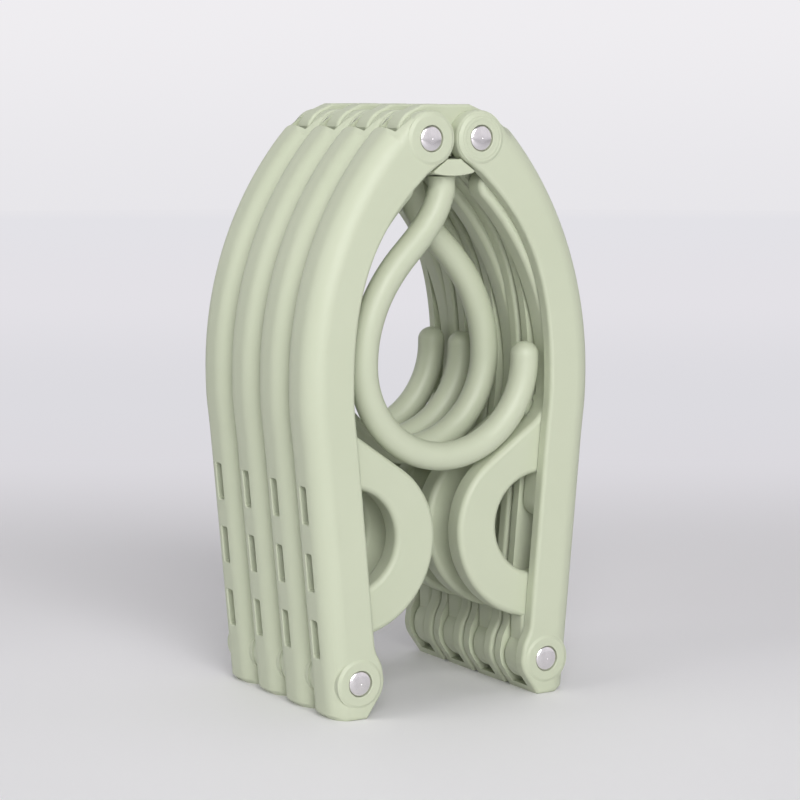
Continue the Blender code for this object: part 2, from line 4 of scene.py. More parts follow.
import bmesh
import bpy
from mathutils import Matrix, Vector


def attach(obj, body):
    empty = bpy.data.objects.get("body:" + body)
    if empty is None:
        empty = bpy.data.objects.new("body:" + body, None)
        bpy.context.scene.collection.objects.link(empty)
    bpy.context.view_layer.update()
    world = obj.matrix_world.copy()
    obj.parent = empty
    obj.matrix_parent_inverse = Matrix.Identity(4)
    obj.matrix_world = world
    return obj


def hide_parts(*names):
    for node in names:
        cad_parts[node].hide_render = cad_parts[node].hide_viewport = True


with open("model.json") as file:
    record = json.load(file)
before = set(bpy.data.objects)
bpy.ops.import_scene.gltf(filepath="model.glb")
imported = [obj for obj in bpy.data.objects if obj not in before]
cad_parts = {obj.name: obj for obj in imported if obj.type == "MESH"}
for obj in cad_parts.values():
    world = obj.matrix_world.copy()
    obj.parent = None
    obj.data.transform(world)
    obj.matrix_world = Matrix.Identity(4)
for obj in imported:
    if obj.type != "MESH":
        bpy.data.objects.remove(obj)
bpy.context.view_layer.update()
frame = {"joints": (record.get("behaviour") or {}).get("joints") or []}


# Camera
# A long lens in front of the left corner, just above the hangers' tops, looking slightly down.
# Its place and angles are those at which the hangers' edges fall as in the photograph.
photo_width_px = 800
focal_length_px = 2515.6
camera_at = (-0.4100, -0.6944, 0.1931)
camera_turn = radians(30.68)
camera_tilt = radians(7.053)
lens_sensor = 36.0

camera_data = bpy.data.cameras.new("camera")
camera_data.sensor_width = lens_sensor
camera_data.lens = lens_sensor * focal_length_px / photo_width_px
camera_data.dof.use_dof = False
camera = bpy.data.objects.new("camera", camera_data)
camera.location = camera_at
camera.rotation_euler = (pi / 2 - camera_tilt, 0, -camera_turn)
bpy.context.scene.collection.objects.link(camera)
bpy.context.scene.camera = camera
bpy.context.scene.view_settings.view_transform = "Standard"


# Table top
# A seamless pale grey surface, a wide round sheet that the hangers stand on and throw their
# shadows on. Behind them a band of painted shade darkens its colour, then it turns pale, and glows evenly to
# its far edge.
table_radius = 3.27
# Painted shade: the colour dips just past 0.03 behind the hangers, where their soft shadow falls
table_tones_with_painted_shade = ((-0.30, (0.81, 0.805, 0.825)), (-0.05, (0.86, 0.850, 0.875)), (0.03, (0.885, 0.872, 0.900)),
               (0.15, (0.85, 0.835, 0.86)), (0.40, (0.82, 0.81, 0.83)), (1.00, (0.80, 0.79, 0.81)))
# What the camera sees further back; its darker start is painted shade behind the hangers, the rest the pale
# room
far_glow_with_painted_shade = ((0.10, (0.650, 0.635, 0.665)), (0.37, (0.705, 0.690, 0.725)), (0.75, (0.716, 0.708, 0.745)),
             (1.50, (0.768, 0.753, 0.791)), (2.90, (0.768, 0.761, 0.799)), (3.20, (0.790, 0.780, 0.812)))
far_from, far_to = 0.14, 0.50
table_sides = 96
table_roughness = 0.62
table_shine = 0.25


def new_shader(name):
    """A material with its nodes, their links and its Principled shader."""
    material = bpy.data.materials.new(name)
    material.use_nodes = True
    tree = material.node_tree
    return material, tree, tree.nodes["Principled BSDF"]


table_mesh = bpy.data.meshes.new("table_top")
sheet = bmesh.new()
bmesh.ops.create_circle(sheet, cap_ends=True, radius=table_radius, segments=table_sides)
sheet.to_mesh(table_mesh)
sheet.free()
table_top = bpy.data.objects.new("table_top", table_mesh)
bpy.context.scene.collection.objects.link(table_top)

table_paint, tree, shader = new_shader("table_paint")
shader.inputs["Roughness"].default_value = table_roughness
shader.inputs["Specular IOR Level"].default_value = table_shine
place = tree.nodes.new("ShaderNodeTexCoord")
away = tree.nodes.new("ShaderNodeVectorMath")
away.operation = "DOT_PRODUCT"
away.inputs[1].default_value = (sin(camera_turn), cos(camera_turn), 0)
tree.links.new(place.outputs["Object"], away.inputs[0])


def tone_ramp(tree, tones, distance):
    """Colours that change smoothly with the distance behind the middle of the table."""
    first, last = tones[0][0], tones[-1][0]
    span = tree.nodes.new("ShaderNodeMapRange")
    span.inputs["From Min"].default_value = first
    span.inputs["From Max"].default_value = last
    ramp = tree.nodes.new("ShaderNodeValToRGB")
    ramp.color_ramp.interpolation = "EASE"
    while len(ramp.color_ramp.elements) < len(tones):
        ramp.color_ramp.elements.new(1)
    for element, (at, tone) in zip(ramp.color_ramp.elements, tones):
        element.position = (at - first) / (last - first)
        element.color = (*tone, 1)
    tree.links.new(distance, span.inputs["Value"])
    tree.links.new(span.outputs["Result"], ramp.inputs["Fac"])
    return ramp.outputs["Color"]


tree.links.new(tone_ramp(tree, table_tones_with_painted_shade, away.outputs["Value"]), shader.inputs["Base Color"])
glow = tree.nodes.new("ShaderNodeEmission")
tree.links.new(tone_ramp(tree, far_glow_with_painted_shade, away.outputs["Value"]), glow.inputs["Color"])
far = tree.nodes.new("ShaderNodeMapRange")
far.interpolation_type = "SMOOTHSTEP"
far.inputs["From Min"].default_value = far_from
far.inputs["From Max"].default_value = far_to
rays = tree.nodes.new("ShaderNodeLightPath")
seen = tree.nodes.new("ShaderNodeMath")
seen.operation = "MULTIPLY"
blend = tree.nodes.new("ShaderNodeMixShader")
tree.links.new(away.outputs["Value"], far.inputs["Value"])
tree.links.new(far.outputs["Result"], seen.inputs[0])
tree.links.new(rays.outputs["Is Camera Ray"], seen.inputs[1])
tree.links.new(seen.outputs["Value"], blend.inputs["Fac"])
tree.links.new(shader.outputs["BSDF"], blend.inputs[1])
tree.links.new(glow.outputs["Emission"], blend.inputs[2])
tree.links.new(blend.outputs["Shader"], tree.nodes["Material Output"].inputs["Surface"])
table_mesh.materials.append(table_paint)


# Studio light
# One large soft lamp in front, weaker ones on the left and above, and a dim even room all
# round. What shows of the room above the table is painted in its own pale tones.
lamps = (
    ("front_lamp", (-0.55, -1.68, 0.92), 1.20, 32.0),
    ("left_lamp", (-1.60, 0.10, 0.90), 1.20, 6.5),
    ("top_lamp", (0.10, 0.10, 1.80), 1.30, 8.0),
)
lamp_target = Vector((0, 0, 0.09))
room_light = 0.15
# What shows of the room at each height of the line of sight, with a dark ceiling for the rivets
room_tones = ((-0.06, (0.800, 0.790, 0.820)), (0.04, (0.865, 0.85, 0.875)), (0.60, (0.865, 0.85, 0.875)),
              (0.78, (0.10, 0.10, 0.13)))

for name, at, size, power in lamps:
    lamp_data = bpy.data.lights.new(name, "AREA")
    lamp_data.size = size
    lamp_data.energy = power
    lamp = bpy.data.objects.new(name, lamp_data)
    lamp.location = at
    lamp.rotation_euler = (lamp_target - Vector(at)).to_track_quat("-Z", "Y").to_euler()
    bpy.context.scene.collection.objects.link(lamp)

room = bpy.data.worlds.new("room")
room.use_nodes = True
bpy.context.scene.world = room
tree = room.node_tree
tree.nodes.clear()
output = tree.nodes.new("ShaderNodeOutputWorld")
even = tree.nodes.new("ShaderNodeBackground")
even.inputs["Color"].default_value = (1.0, 0.995, 1.0, 1)
even.inputs["Strength"].default_value = room_light
shown = tree.nodes.new("ShaderNodeBackground")
place = tree.nodes.new("ShaderNodeTexCoord")
part = tree.nodes.new("ShaderNodeSeparateXYZ")
rays = tree.nodes.new("ShaderNodeLightPath")
either = tree.nodes.new("ShaderNodeMath")
either.operation = "MAXIMUM"
mix = tree.nodes.new("ShaderNodeMixShader")
tree.links.new(place.outputs["Generated"], part.inputs["Vector"])
tree.links.new(tone_ramp(tree, room_tones, part.outputs["Z"]), shown.inputs["Color"])
tree.links.new(rays.outputs["Is Camera Ray"], either.inputs[0])
tree.links.new(rays.outputs["Is Glossy Ray"], either.inputs[1])
tree.links.new(either.outputs["Value"], mix.inputs["Fac"])
tree.links.new(even.outputs["Background"], mix.inputs[1])
tree.links.new(shown.outputs["Background"], mix.inputs[2])
tree.links.new(mix.outputs["Shader"], output.inputs["Surface"])


# Hub
# The moulded plate that carries both arms on its rivets, with a raised stop between the
# eyes and a lens-shaped lip before and behind the socket in which the hook's pin turns.
hangers = ("1", "2", "3", "4")
joints = {joint["name"]: joint for joint in frame["joints"]}
depths = {n: joints[f"right_arm_fold_{n}"]["pos_m"][1] for n in hangers}
hub_pivot = Vector((joints["right_arm_fold_1"]["pos_m"][0], 0, joints["right_arm_fold_1"]["pos_m"][2]))
tip_pivot = Vector((joints["right_bar_fold_1"]["pos_m"][0], 0, joints["right_bar_fold_1"]["pos_m"][2]))
sage = (0.552, 0.588, 0.452)
sage_shade = (0.514, 0.556, 0.414)

hub_depth = 0.0066
hub_low_radius = 0.0082
hub_end_radius = 0.0094
hub_end_angle = radians(70)
hub_end_low_angle = radians(20)
hub_low_angle = -radians(110)
hub_top_rise = 0.0104
hub_top_half_width = 0.0082
hub_top_corner = 0.0012
hub_top_corner_angle = radians(68)
hub_bottom_drop = 0.0115
hub_bottom_half_width = 0.0070
hub_bottom_bow = 0.060
hub_bottom_steps = 8
hub_rim = 0.0009
lip_rim = 0.0004
eye_radius = 0.0086
lip_gap = 0.0004
lip_depth = 0.0154
lip_top_drop = 0.0063
lip_half_width = 0.0074
lip_end_drop = 0.0101
lip_end_angle = -radians(120)
socket_radius = 0.0026
socket_sides = 40
chamber_half_width = 0.0039
chamber_height = 0.0040
shank_hole_radius = 0.0023
shank_hole_sides = 32
crease_angle = radians(32)
past = 0.0030


def moulded_grain():
    """A node group for moulded plastic: clouded colour, uneven gloss and a fine grain."""
    group = bpy.data.node_groups.new("moulded_grain", "ShaderNodeTree")
    for name, kind in (("Colour", "NodeSocketColor"), ("Shade", "NodeSocketColor"),
                       ("Cloud size", "NodeSocketFloat"), ("Grain size", "NodeSocketFloat"),
                       ("Grain height", "NodeSocketFloat"), ("Gloss", "NodeSocketFloat"),
                       ("Gloss spread", "NodeSocketFloat")):
        group.interface.new_socket(name=name, in_out="INPUT", socket_type=kind)
    for name, kind in (("Colour", "NodeSocketColor"), ("Roughness", "NodeSocketFloat"),
                       ("Normal", "NodeSocketVector")):
        group.interface.new_socket(name=name, in_out="OUTPUT", socket_type=kind)
    nodes, links = group.nodes, group.links
    given = nodes.new("NodeGroupInput")
    made = nodes.new("NodeGroupOutput")
    place = nodes.new("ShaderNodeTexCoord")
    cloud = nodes.new("ShaderNodeTexNoise")
    cloud.inputs["Detail"].default_value = 3
    blush = nodes.new("ShaderNodeMix")
    blush.data_type = "RGBA"
    grain = nodes.new("ShaderNodeTexNoise")
    grain.inputs["Detail"].default_value = 2
    gloss = nodes.new("ShaderNodeMath")
    gloss.operation = "MULTIPLY_ADD"
    bump = nodes.new("ShaderNodeBump")
    links.new(place.outputs["Object"], cloud.inputs["Vector"])
    links.new(place.outputs["Object"], grain.inputs["Vector"])
    links.new(given.outputs["Cloud size"], cloud.inputs["Scale"])
    links.new(given.outputs["Grain size"], grain.inputs["Scale"])
    links.new(cloud.outputs["Fac"], blush.inputs["Factor"])
    links.new(given.outputs["Colour"], blush.inputs["A"])
    links.new(given.outputs["Shade"], blush.inputs["B"])
    links.new(grain.outputs["Fac"], gloss.inputs[0])
    links.new(given.outputs["Gloss spread"], gloss.inputs[1])
    links.new(given.outputs["Gloss"], gloss.inputs[2])
    links.new(grain.outputs["Fac"], bump.inputs["Height"])
    links.new(given.outputs["Grain height"], bump.inputs["Distance"])
    links.new(blush.outputs["Result"], made.inputs["Colour"])
    links.new(gloss.outputs["Value"], made.inputs["Roughness"])
    links.new(bump.outputs["Normal"], made.inputs["Normal"])
    return group


grain_group = moulded_grain()


def moulded_plastic(name, colour, shade, grain_height, gloss):
    """Matte injection-moulded plastic with this colour and grain."""
    material, tree, shader = new_shader(name)
    effect = tree.nodes.new("ShaderNodeGroup")
    effect.node_tree = grain_group
    for socket, value in (("Colour", (*colour, 1)), ("Shade", (*shade, 1)), ("Cloud size", 38.0),
                          ("Grain size", 2600.0), ("Grain height", grain_height),
                          ("Gloss", gloss), ("Gloss spread", 0.10)):
        effect.inputs[socket].default_value = value
    tree.links.new(effect.outputs["Colour"], shader.inputs["Base Color"])
    tree.links.new(effect.outputs["Roughness"], shader.inputs["Roughness"])
    tree.links.new(effect.outputs["Normal"], shader.inputs["Normal"])
    shader.inputs["IOR"].default_value = 1.46
    shader.inputs["Specular IOR Level"].default_value = 0.42
    return material


hub_plastic = moulded_plastic("hub_plastic", sage, sage_shade, 0.00002, 0.42)


def spot(x, z):
    """A point in a hanger's own plane."""
    return Vector((x, 0, z))


def arc(centre, radius, start, end, steps):
    """Points on a circle in the hanger's plane, both ends included."""
    angles = [start + (end - start) * k / steps for k in range(steps + 1)]
    return [centre + radius * spot(cos(a), sin(a)) for a in angles]


def both_sides(half):
    """A whole outline from the half at +X, whose first and last points lie in the middle."""
    return half + [spot(-p.x, p.z) for p in reversed(half[1:-1])]


def counter_clockwise(places):
    """The outline, counter-clockwise as the front sees it."""
    area = sum(a.x * b.z - b.x * a.z for a, b in zip(places, places[1:] + places[:1]))
    return places if area > 0 else places[::-1]


def outward(places):
    """Unit normals of a counter-clockwise outline."""
    normals = []
    for k, here in enumerate(places):
        along = (here - places[k - 1]).normalized() + (places[(k + 1) % len(places)] - here).normalized()
        normals.append(spot(along.z, -along.x).normalized())
    return normals


def loft(layers):
    """A closed mesh through equal rings of points, front to rear."""
    shape = bmesh.new()
    rings = [[shape.verts.new(p) for p in layer] for layer in layers]
    count = len(rings[0])
    for front, rear in zip(rings, rings[1:]):
        for k in range(count):
            n = (k + 1) % count
            shape.faces.new((front[k], front[n], rear[n], rear[k]))
    shape.faces.new(rings[0])
    shape.faces.new(rings[-1][::-1])
    bmesh.ops.recalc_face_normals(shape, faces=shape.faces)
    return shape


def slab(places, half, rim=0, steps=0):
    """A plate of this outline, from -half to half in depth, with rounded rims."""
    places = counter_clockwise(places)
    normals = outward(places)
    turns = [pi / 2 * k / max(steps, 1) for k in range(steps + 1)]
    levels = [(rim * (1 - cos(turn)) - half, rim * (1 - sin(turn))) for turn in turns]
    layers = []
    for y, inset in levels + [(-y, inset) for y, inset in reversed(levels)]:
        layers.append([p - n * inset + Vector((0, y, 0)) for p, n in zip(places, normals)])
    return loft(layers)


def turned(profile, sides, centre=Vector((0, 0, 0))):
    """A closed body turned about the depth axis from (radius, depth) pairs."""
    shape = bmesh.new()
    rings = []
    for radius, y in profile:
        count = sides if radius > 0 else 1
        angles = [2 * pi * (k + 0.5) / sides for k in range(count)]
        rings.append([shape.verts.new(centre + Vector((radius * cos(a), y, radius * sin(a))))
                      for a in angles])
    for near, far in zip(rings, rings[1:]):
        for k in range(sides):
            n = (k + 1) % sides
            corners = [near[k % len(near)], near[n % len(near)], far[n % len(far)], far[k % len(far)]]
            shape.faces.new(list(dict.fromkeys(corners)))
    for ring in (rings[0], rings[-1]):
        if len(ring) > 1:
            shape.faces.new(ring)
    bmesh.ops.recalc_face_normals(shape, faces=shape.faces)
    return shape


def as_object(shape, name):
    """Write a bmesh to a new object in the scene."""
    mesh = bpy.data.meshes.new(name)
    shape.to_mesh(mesh)
    shape.free()
    thing = bpy.data.objects.new(name, mesh)
    bpy.context.scene.collection.objects.link(thing)
    return thing


def moulded(shape, name, tools=()):
    """The mesh of a moulding after each (operation, bmesh) pair, with smooth faces and kept creases."""
    thing = as_object(shape, name)
    helpers = []
    for operation, tool in tools:
        helper = as_object(tool, name + "_tool")
        modifier = thing.modifiers.new(operation, "BOOLEAN")
        modifier.operation = operation
        modifier.solver = "EXACT"
        modifier.object = helper
        helpers.append(helper)
    bpy.context.view_layer.update()
    mesh = bpy.data.meshes.new_from_object(thing.evaluated_get(bpy.context.evaluated_depsgraph_get()))
    for extra in [thing] + helpers:
        bpy.data.objects.remove(extra, do_unlink=True)
    mesh.name = name
    mesh.shade_smooth()
    mesh.set_sharp_from_angle(angle=crease_angle)
    return mesh


def fit_to_hangers(mesh, stem, material, bodies, turned_round=()):
    """Put a copy of the piece on each hanger, riding on its body in place of the CAD node."""
    mesh.materials.clear()
    mesh.materials.append(material)
    for n in hangers:
        piece = bpy.data.objects.new(f"{stem}_{n}_moulding", mesh)
        piece.location = (0, depths[n], 0)
        if n in turned_round:
            piece.rotation_euler = (0, 0, pi)
        bpy.context.scene.collection.objects.link(piece)
        weighted = piece.modifiers.new("weighted", "WEIGHTED_NORMAL")
        weighted.keep_sharp = True
        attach(piece, bodies.format(n))
        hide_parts(f"{stem}_{n}")


def mirrored(mesh, name):
    """The same moulding for the other side."""
    copy = mesh.copy()
    copy.name = name
    copy.transform(Matrix.Scale(-1, 4, Vector((1, 0, 0))))
    copy.flip_normals()
    return copy


hub_top = hub_pivot.z + hub_top_rise
hub_bottom = hub_pivot.z - hub_bottom_drop
underside = [spot(lip_half_width, hub_pivot.z - lip_end_drop)]
for k in range(hub_bottom_steps, -1, -1):
    x = hub_bottom_half_width * k / hub_bottom_steps
    underside.append(spot(x, hub_bottom + x * x / hub_bottom_bow))
plate = [spot(0, hub_top)]
plate += arc(spot(hub_top_half_width, hub_top - hub_top_corner), hub_top_corner, pi / 2,
             hub_top_corner_angle, 4)
plate += arc(hub_pivot, hub_end_radius, hub_end_angle, hub_end_low_angle, 14)
plate += arc(hub_pivot, hub_low_radius, 0, hub_low_angle, 24) + underside
lip_reach = eye_radius + lip_gap
lip_side = hub_pivot.x - sqrt(lip_reach**2 - lip_top_drop**2)
lip = [spot(0, hub_pivot.z - lip_top_drop), spot(lip_side, hub_pivot.z - lip_top_drop)]
lip += arc(hub_pivot, lip_reach, atan2(-lip_top_drop, lip_side - hub_pivot.x), lip_end_angle, 8)[1:]
lip += underside
chamber_floor = hub_pivot.z - lip_top_drop
chamber = [spot(-chamber_half_width, chamber_floor), spot(chamber_half_width, chamber_floor),
           spot(chamber_half_width, chamber_floor + chamber_height),
           spot(-chamber_half_width, chamber_floor + chamber_height)]
socket = turned([(socket_radius, -lip_depth), (socket_radius, 0)], socket_sides)
bmesh.ops.transform(socket, verts=socket.verts, matrix=Matrix.Translation(spot(0, chamber_floor + past))
                    @ Matrix.Rotation(pi / 2, 4, "X"))
hub_tools = [("UNION", slab(both_sides(lip), lip_depth / 2, lip_rim, 3)),
             ("DIFFERENCE", slab(chamber, lip_depth)), ("DIFFERENCE", socket)]
shank_hole = [(shank_hole_radius, -lip_depth), (shank_hole_radius, lip_depth)]
for side in (1, -1):
    hub_tools.append(("DIFFERENCE", turned(shank_hole, shank_hole_sides,
                                           spot(side * hub_pivot.x, hub_pivot.z))))
hub_mesh = moulded(slab(both_sides(plate), hub_depth / 2, hub_rim, 4), "hub", hub_tools)
fit_to_hangers(hub_mesh, "hub", hub_plastic, "hanger_{}")


# Hook
# A round rod of the same plastic bent to an open ring, hanging down between the folded
# arms. Its pin goes up into the hub and ends in a head, so that it turns but stays in.
ring_radius = 0.0296
ring_centre = spot(0.0016, 0.10817)
rod_radius = 0.0045
neck_radius = 0.0043
neck_gap = 0.00015
pin_radius = 0.0022
pin_head_radius = 0.0031
pin_head_height = 0.0022
pin_head_gap = 0.0004
rod_sides = 40
rod_swell_steps = 42
rod_end_rounding = 0.0042
rod_end_angle = radians(2)
rod_end_turn = radians(85)
rod_end_steps = 8
neck_middle_shares = (-0.50, 1.155)
neck_middle_slope = radians(46)
neck_end_slope = radians(76)
neck_handle_share = 0.30
neck_start_handle_share = 0.57
rear_facing_hooks = ("2",)


def bezier(a, b, c, d, steps):
    """Points on a cubic curve through four control points, both ends included."""
    shares = [k / steps for k in range(steps + 1)]
    return [(1 - t)**3 * a + 3 * (1 - t)**2 * t * b + 3 * (1 - t) * t * t * c + t**3 * d for t in shares]


def swept_rod(stations):
    """A closed round rod through (place, direction, radius) stations in the hanger's plane."""
    layers = []
    for place, along, radius in stations:
        across = spot(along.z, -along.x).normalized()
        turns = [2 * pi * k / rod_sides for k in range(rod_sides)]
        layers.append([place + radius * (across * cos(a) + Vector((0, sin(a), 0))) for a in turns])
    return loft(layers)


root = spot(0, hub_bottom - neck_gap)
down = spot(0, -1)
head_low = chamber_floor + pin_head_gap
rod = [(spot(0, head_low + pin_head_height), down, pin_head_radius),
       (spot(0, head_low + pin_head_gap), down, pin_head_radius),
       (spot(0, head_low), down, pin_radius), (root, down, pin_radius),
       (root, down, neck_radius - neck_gap), (root + down * neck_gap, down, neck_radius)]
neck_middle = ring_centre + ring_radius * spot(*neck_middle_shares)
handle = ring_radius * neck_handle_share
slope = spot(cos(neck_middle_slope), sin(neck_middle_slope)) * handle
lead = spot(cos(neck_end_slope), sin(neck_end_slope)) * handle
neck_top = root + down * neck_radius
ring_left = ring_centre - spot(ring_radius, 0)
path = bezier(neck_top, neck_top - lead, neck_middle + slope, neck_middle, 20)
path += bezier(neck_middle, neck_middle - slope, ring_left + spot(0, ring_radius * neck_start_handle_share),
               ring_left, 22)[1:]
path += arc(ring_centre, ring_radius, pi, 2 * pi + rod_end_angle, 90)[1:]
for k, place in enumerate(path):
    along = (path[min(k + 1, len(path) - 1)] - path[max(k - 1, 0)]).normalized()
    swell = min(k / rod_swell_steps, 1)
    rod.append((place, along, neck_radius + (rod_radius - neck_radius) * swell * swell * (3 - 2 * swell)))
along = spot(-sin(rod_end_angle), cos(rod_end_angle))
for k in range(1, rod_end_steps + 1):
    turn = rod_end_turn * k / rod_end_steps
    rod.append((path[-1] + along * rod_end_rounding * sin(turn), along, rod_radius * cos(turn)))
hook_plastic = moulded_plastic("hook_plastic", sage, sage_shade, 0.000012, 0.36)
fit_to_hangers(moulded(swept_rod(rod), "hook"), "hook", hook_plastic, "hook_{}",
               rear_facing_hooks)


# Arms
# Each arm is a moulded channel that takes its bar when folded: a web with large rounded
# corners outside, two ears, a round eye on the hub's rivet and a flared foot at the tip.
arm_half_span = 0.0520
arm_width = 0.0163
arm_depth = 0.0176
ear_wall = 0.0042
eye_wall = 0.0054
shoulder_wall = 0.0026
shoulder_gap_radius = 0.0090
shoulder_gap_step = 0.0003
shoulder_gap_high_angle = radians(60)
shoulder_gap_low_angle = radians(2)
eye_wall_radius = 0.0085
eye_wall_overlap = 0.0008
web_wall = 0.0022
web_corner = 0.0064
web_crown = 0.00035
web_end_back = 0.0015
web_end_bow = 0.0019
web_end_bow_width = 0.0050
ear_rim = 0.0013
boss_rise = 0.0005
boss_slope = 0.0013
boss_sink = 0.00005
eye_boss_radius = 0.0082
tip_boss_radius = 0.0079
recess_radius = 0.0041
recess_depth = 0.0013
recess_lead = 0.00018
eye_start_angle = radians(42)
eye_end_angle = radians(245)
flare_radius = 0.0089
flare_handle = 0.0035
flare_start_angle = radians(165)
flare_end_angle = radians(214)
foot_corner = 0.0016
foot_inner_x = 0.0316
foot_outer_x = 0.0430
slot_size = (0.0039, 0.0119)
slot_corner = 0.0007
slot_lead_in = 0.0003
first_slot_rise = 0.0134
slot_pitch = 0.0210
slot_count = 3
foot_drop = tip_pivot.z
pivot_rise = hub_pivot.z - tip_pivot.z
# Shares of the eye's radius, from the hub's pivot, then shares of the rise between the pivots
shoulder_shares = (1.314, 0.549)
shoulder_handle_shares = (3.141, -1.291)
armpit_shares = (0.081, -1.257)
armpit_handle_shares = (1.884, -2.913)
widest_share = 0.5525
widest_handle_share = 0.769
inner_handle_share = 0.757
straight_share = 0.417
straight_inset_share = 0.0327
flare_start_share = 1.25
flare_handle_shares = (-0.955, 0.72)
# Ring-shaped steps on the right arms' eyes, as shares of the boss's radius
eye_ring_shares = (0.66, 0.80)
eye_ring_depth = 0.00007

bend = spot(arm_half_span * (1 - straight_inset_share), foot_drop + pivot_rise * straight_share)
foot = spot(foot_outer_x, 0)
lean = (bend - foot).normalized()
widest = spot(arm_half_span, foot_drop + pivot_rise * widest_share)
ease = (widest.z - bend.z) / 2
shoulder = hub_pivot + eye_radius * spot(*shoulder_shares)
outer_edge = [foot + lean * foot_corner]
outer_edge += bezier(bend, bend + lean * ease, widest - spot(0, ease), widest, 8)
outer_edge += bezier(widest, spot(arm_half_span, foot_drop + pivot_rise * widest_handle_share),
                     hub_pivot + eye_radius * spot(*shoulder_handle_shares), shoulder, 34)[1:-2]
web_along = (shoulder - outer_edge[-1]).normalized()
outer_edge.append(shoulder)
inner_x = arm_half_span - arm_width
inner_bend = spot(inner_x - arm_half_span * straight_inset_share, bend.z)
flare_top = foot_drop + flare_radius * flare_start_share
inner_low = inner_bend - lean * ((inner_bend.z - flare_top) / lean.z)
inner_edge = bezier(hub_pivot + eye_radius * spot(*armpit_shares),
                    hub_pivot + eye_radius * spot(*armpit_handle_shares),
                    spot(inner_x, foot_drop + pivot_rise * inner_handle_share),
                    spot(inner_x, widest.z), 30)
inner_edge += bezier(spot(inner_x, widest.z), spot(inner_x, widest.z) - spot(0, ease),
                     inner_bend + lean * ease, inner_bend, 8)[1:]
eye = arc(hub_pivot, eye_radius, eye_start_angle, eye_end_angle, 48)
flare_start = tip_pivot + flare_radius * spot(cos(flare_start_angle), sin(flare_start_angle))
flare = bezier(inner_low, inner_low - lean * flare_handle,
               tip_pivot + flare_radius * spot(*flare_handle_shares), flare_start, 7)
flare += arc(tip_pivot, flare_radius, flare_start_angle, flare_end_angle, 10)[1:]
sole = [spot(foot_inner_x, 0), spot(foot_outer_x - foot_corner, 0)]
outline = outer_edge + eye + inner_edge + flare + sole
normals = outward(outline)
zero = Vector((0, 0, 0))
web_pull = [n if k < len(outer_edge) else zero for k, n in enumerate(normals)]
rim_pull = [zero if k < len(outer_edge) else n for k, n in enumerate(normals)]
web_pull[-1] = spot(1, 0)
rim_pull[-1] = spot(0, -1)
web_pull[0] = spot(1, 0)
web_pull[len(outer_edge) - 1] = normals[len(outer_edge) - 2]


def round_in(radius, step):
    """How far a rounded edge stands back at this depth under the face."""
    left = max(radius - step, 0)
    return radius - sqrt(radius**2 - left**2)


half = arm_depth / 2
depth_steps = [ear_rim * (1 - cos(pi / 2 * k / 5)) for k in range(6)]
depth_steps += [ear_rim + (web_corner - ear_rim) * (k / 6)**1.2 for k in range(1, 7)]
depth_steps += [web_corner + (half - web_corner) * k / 3 for k in range(1, 3)]
levels = [(step - half, step) for step in depth_steps] + [(0, half)]
levels += [(half - step, step) for step in reversed(depth_steps)]
layers = []
for y, step in levels:
    web = round_in(web_corner, step) + web_crown * (1 - min(step / half, 1))**2
    rim = round_in(ear_rim, step)
    layer = [p - w * web - r * rim + Vector((0, y, 0)) for p, w, r in zip(outline, web_pull, rim_pull)]
    layer[len(outer_edge) - 1] -= web_along * (web_end_back
                                               + web_end_bow * min(abs(y) / web_end_bow_width, 1)**2)
    layers.append(layer)


def boss(radius, ring_shares=()):
    """A low round pad on both ears, its edge sloped softly, with fine rings turned into it."""
    face = arm_depth / 2 + boss_rise
    front = [(radius, -arm_depth / 2 + boss_rise)]
    front += [(radius - boss_slope * k / 8, -face + (boss_rise + boss_sink) * (1 + cos(pi * k / 8)) / 2)
              for k in range(9)]
    for share in sorted(ring_shares, reverse=True):
        middle = radius * share
        front += [(middle + 2 * eye_ring_depth, -face), (middle, -face + eye_ring_depth),
                  (middle - 2 * eye_ring_depth, -face)]
    front.reverse()
    return front + [(r, -y) for r, y in reversed(front)]


def rivet_bore():
    """The bore and the two recesses for a rivet, with a small lead-in at each mouth."""
    face = arm_depth / 2 + boss_rise
    floor = face - recess_depth
    front = [(recess_radius + recess_lead, -face - past), (recess_radius + recess_lead, -face),
             (recess_radius, -face + recess_lead), (recess_radius, -floor), (shank_hole_radius, -floor)]
    return front + [(r, -y) for r, y in reversed(front)]


def channel():
    """What is taken out between the ears: all but the web and the sole."""
    pulls = outward(outer_edge + [tip_pivot])[1:len(outer_edge) - 1]
    line = [p - n * web_wall for p, n in zip(outer_edge[1:-1], pulls)]
    face = shoulder - web_along * web_end_back
    end = face - pulls[-1] * web_wall
    outside = face + pulls[-1] * past
    low = outer_edge[0] + spot(-web_wall, web_wall - outer_edge[0].z)
    left = hub_pivot.x - eye_radius - past
    top = hub_pivot.z + eye_radius + past
    mouth = spot(tip_pivot.x - flare_radius - past, web_wall)
    return [low] + line + [end, outside, spot(outside.x, top), spot(left, top),
                           spot(left, hub_pivot.z - eye_radius - past), mouth]


def shoulder_gap():
    """What is taken out between the web's end and the eye, where the ears are thinnest."""
    face = shoulder - web_along * (web_end_back + shoulder_gap_step)
    away = spot(web_along.z, -web_along.x)
    near_eye = ((shoulder_gap_radius + past, shoulder_gap_high_angle),
                (shoulder_gap_radius, shoulder_gap_high_angle), (shoulder_gap_radius, shoulder_gap_low_angle))
    return ([face - away * (web_wall + shoulder_gap_step), face + away * (past + shoulder_gap_step)]
            + [hub_pivot + reach * spot(cos(turn), sin(turn)) for reach, turn in near_eye])


def eye_wall_pads():
    """The two discs that make the ears thicker round the hub's eye, inside the channel."""
    for side in (1, -1):
        inner = side * (arm_depth / 2 - eye_wall)
        outer = side * (arm_depth / 2 - ear_wall + eye_wall_overlap)
        yield turned([(0, inner), (eye_wall_radius, inner), (eye_wall_radius, outer), (0, outer)],
                     96, hub_pivot)


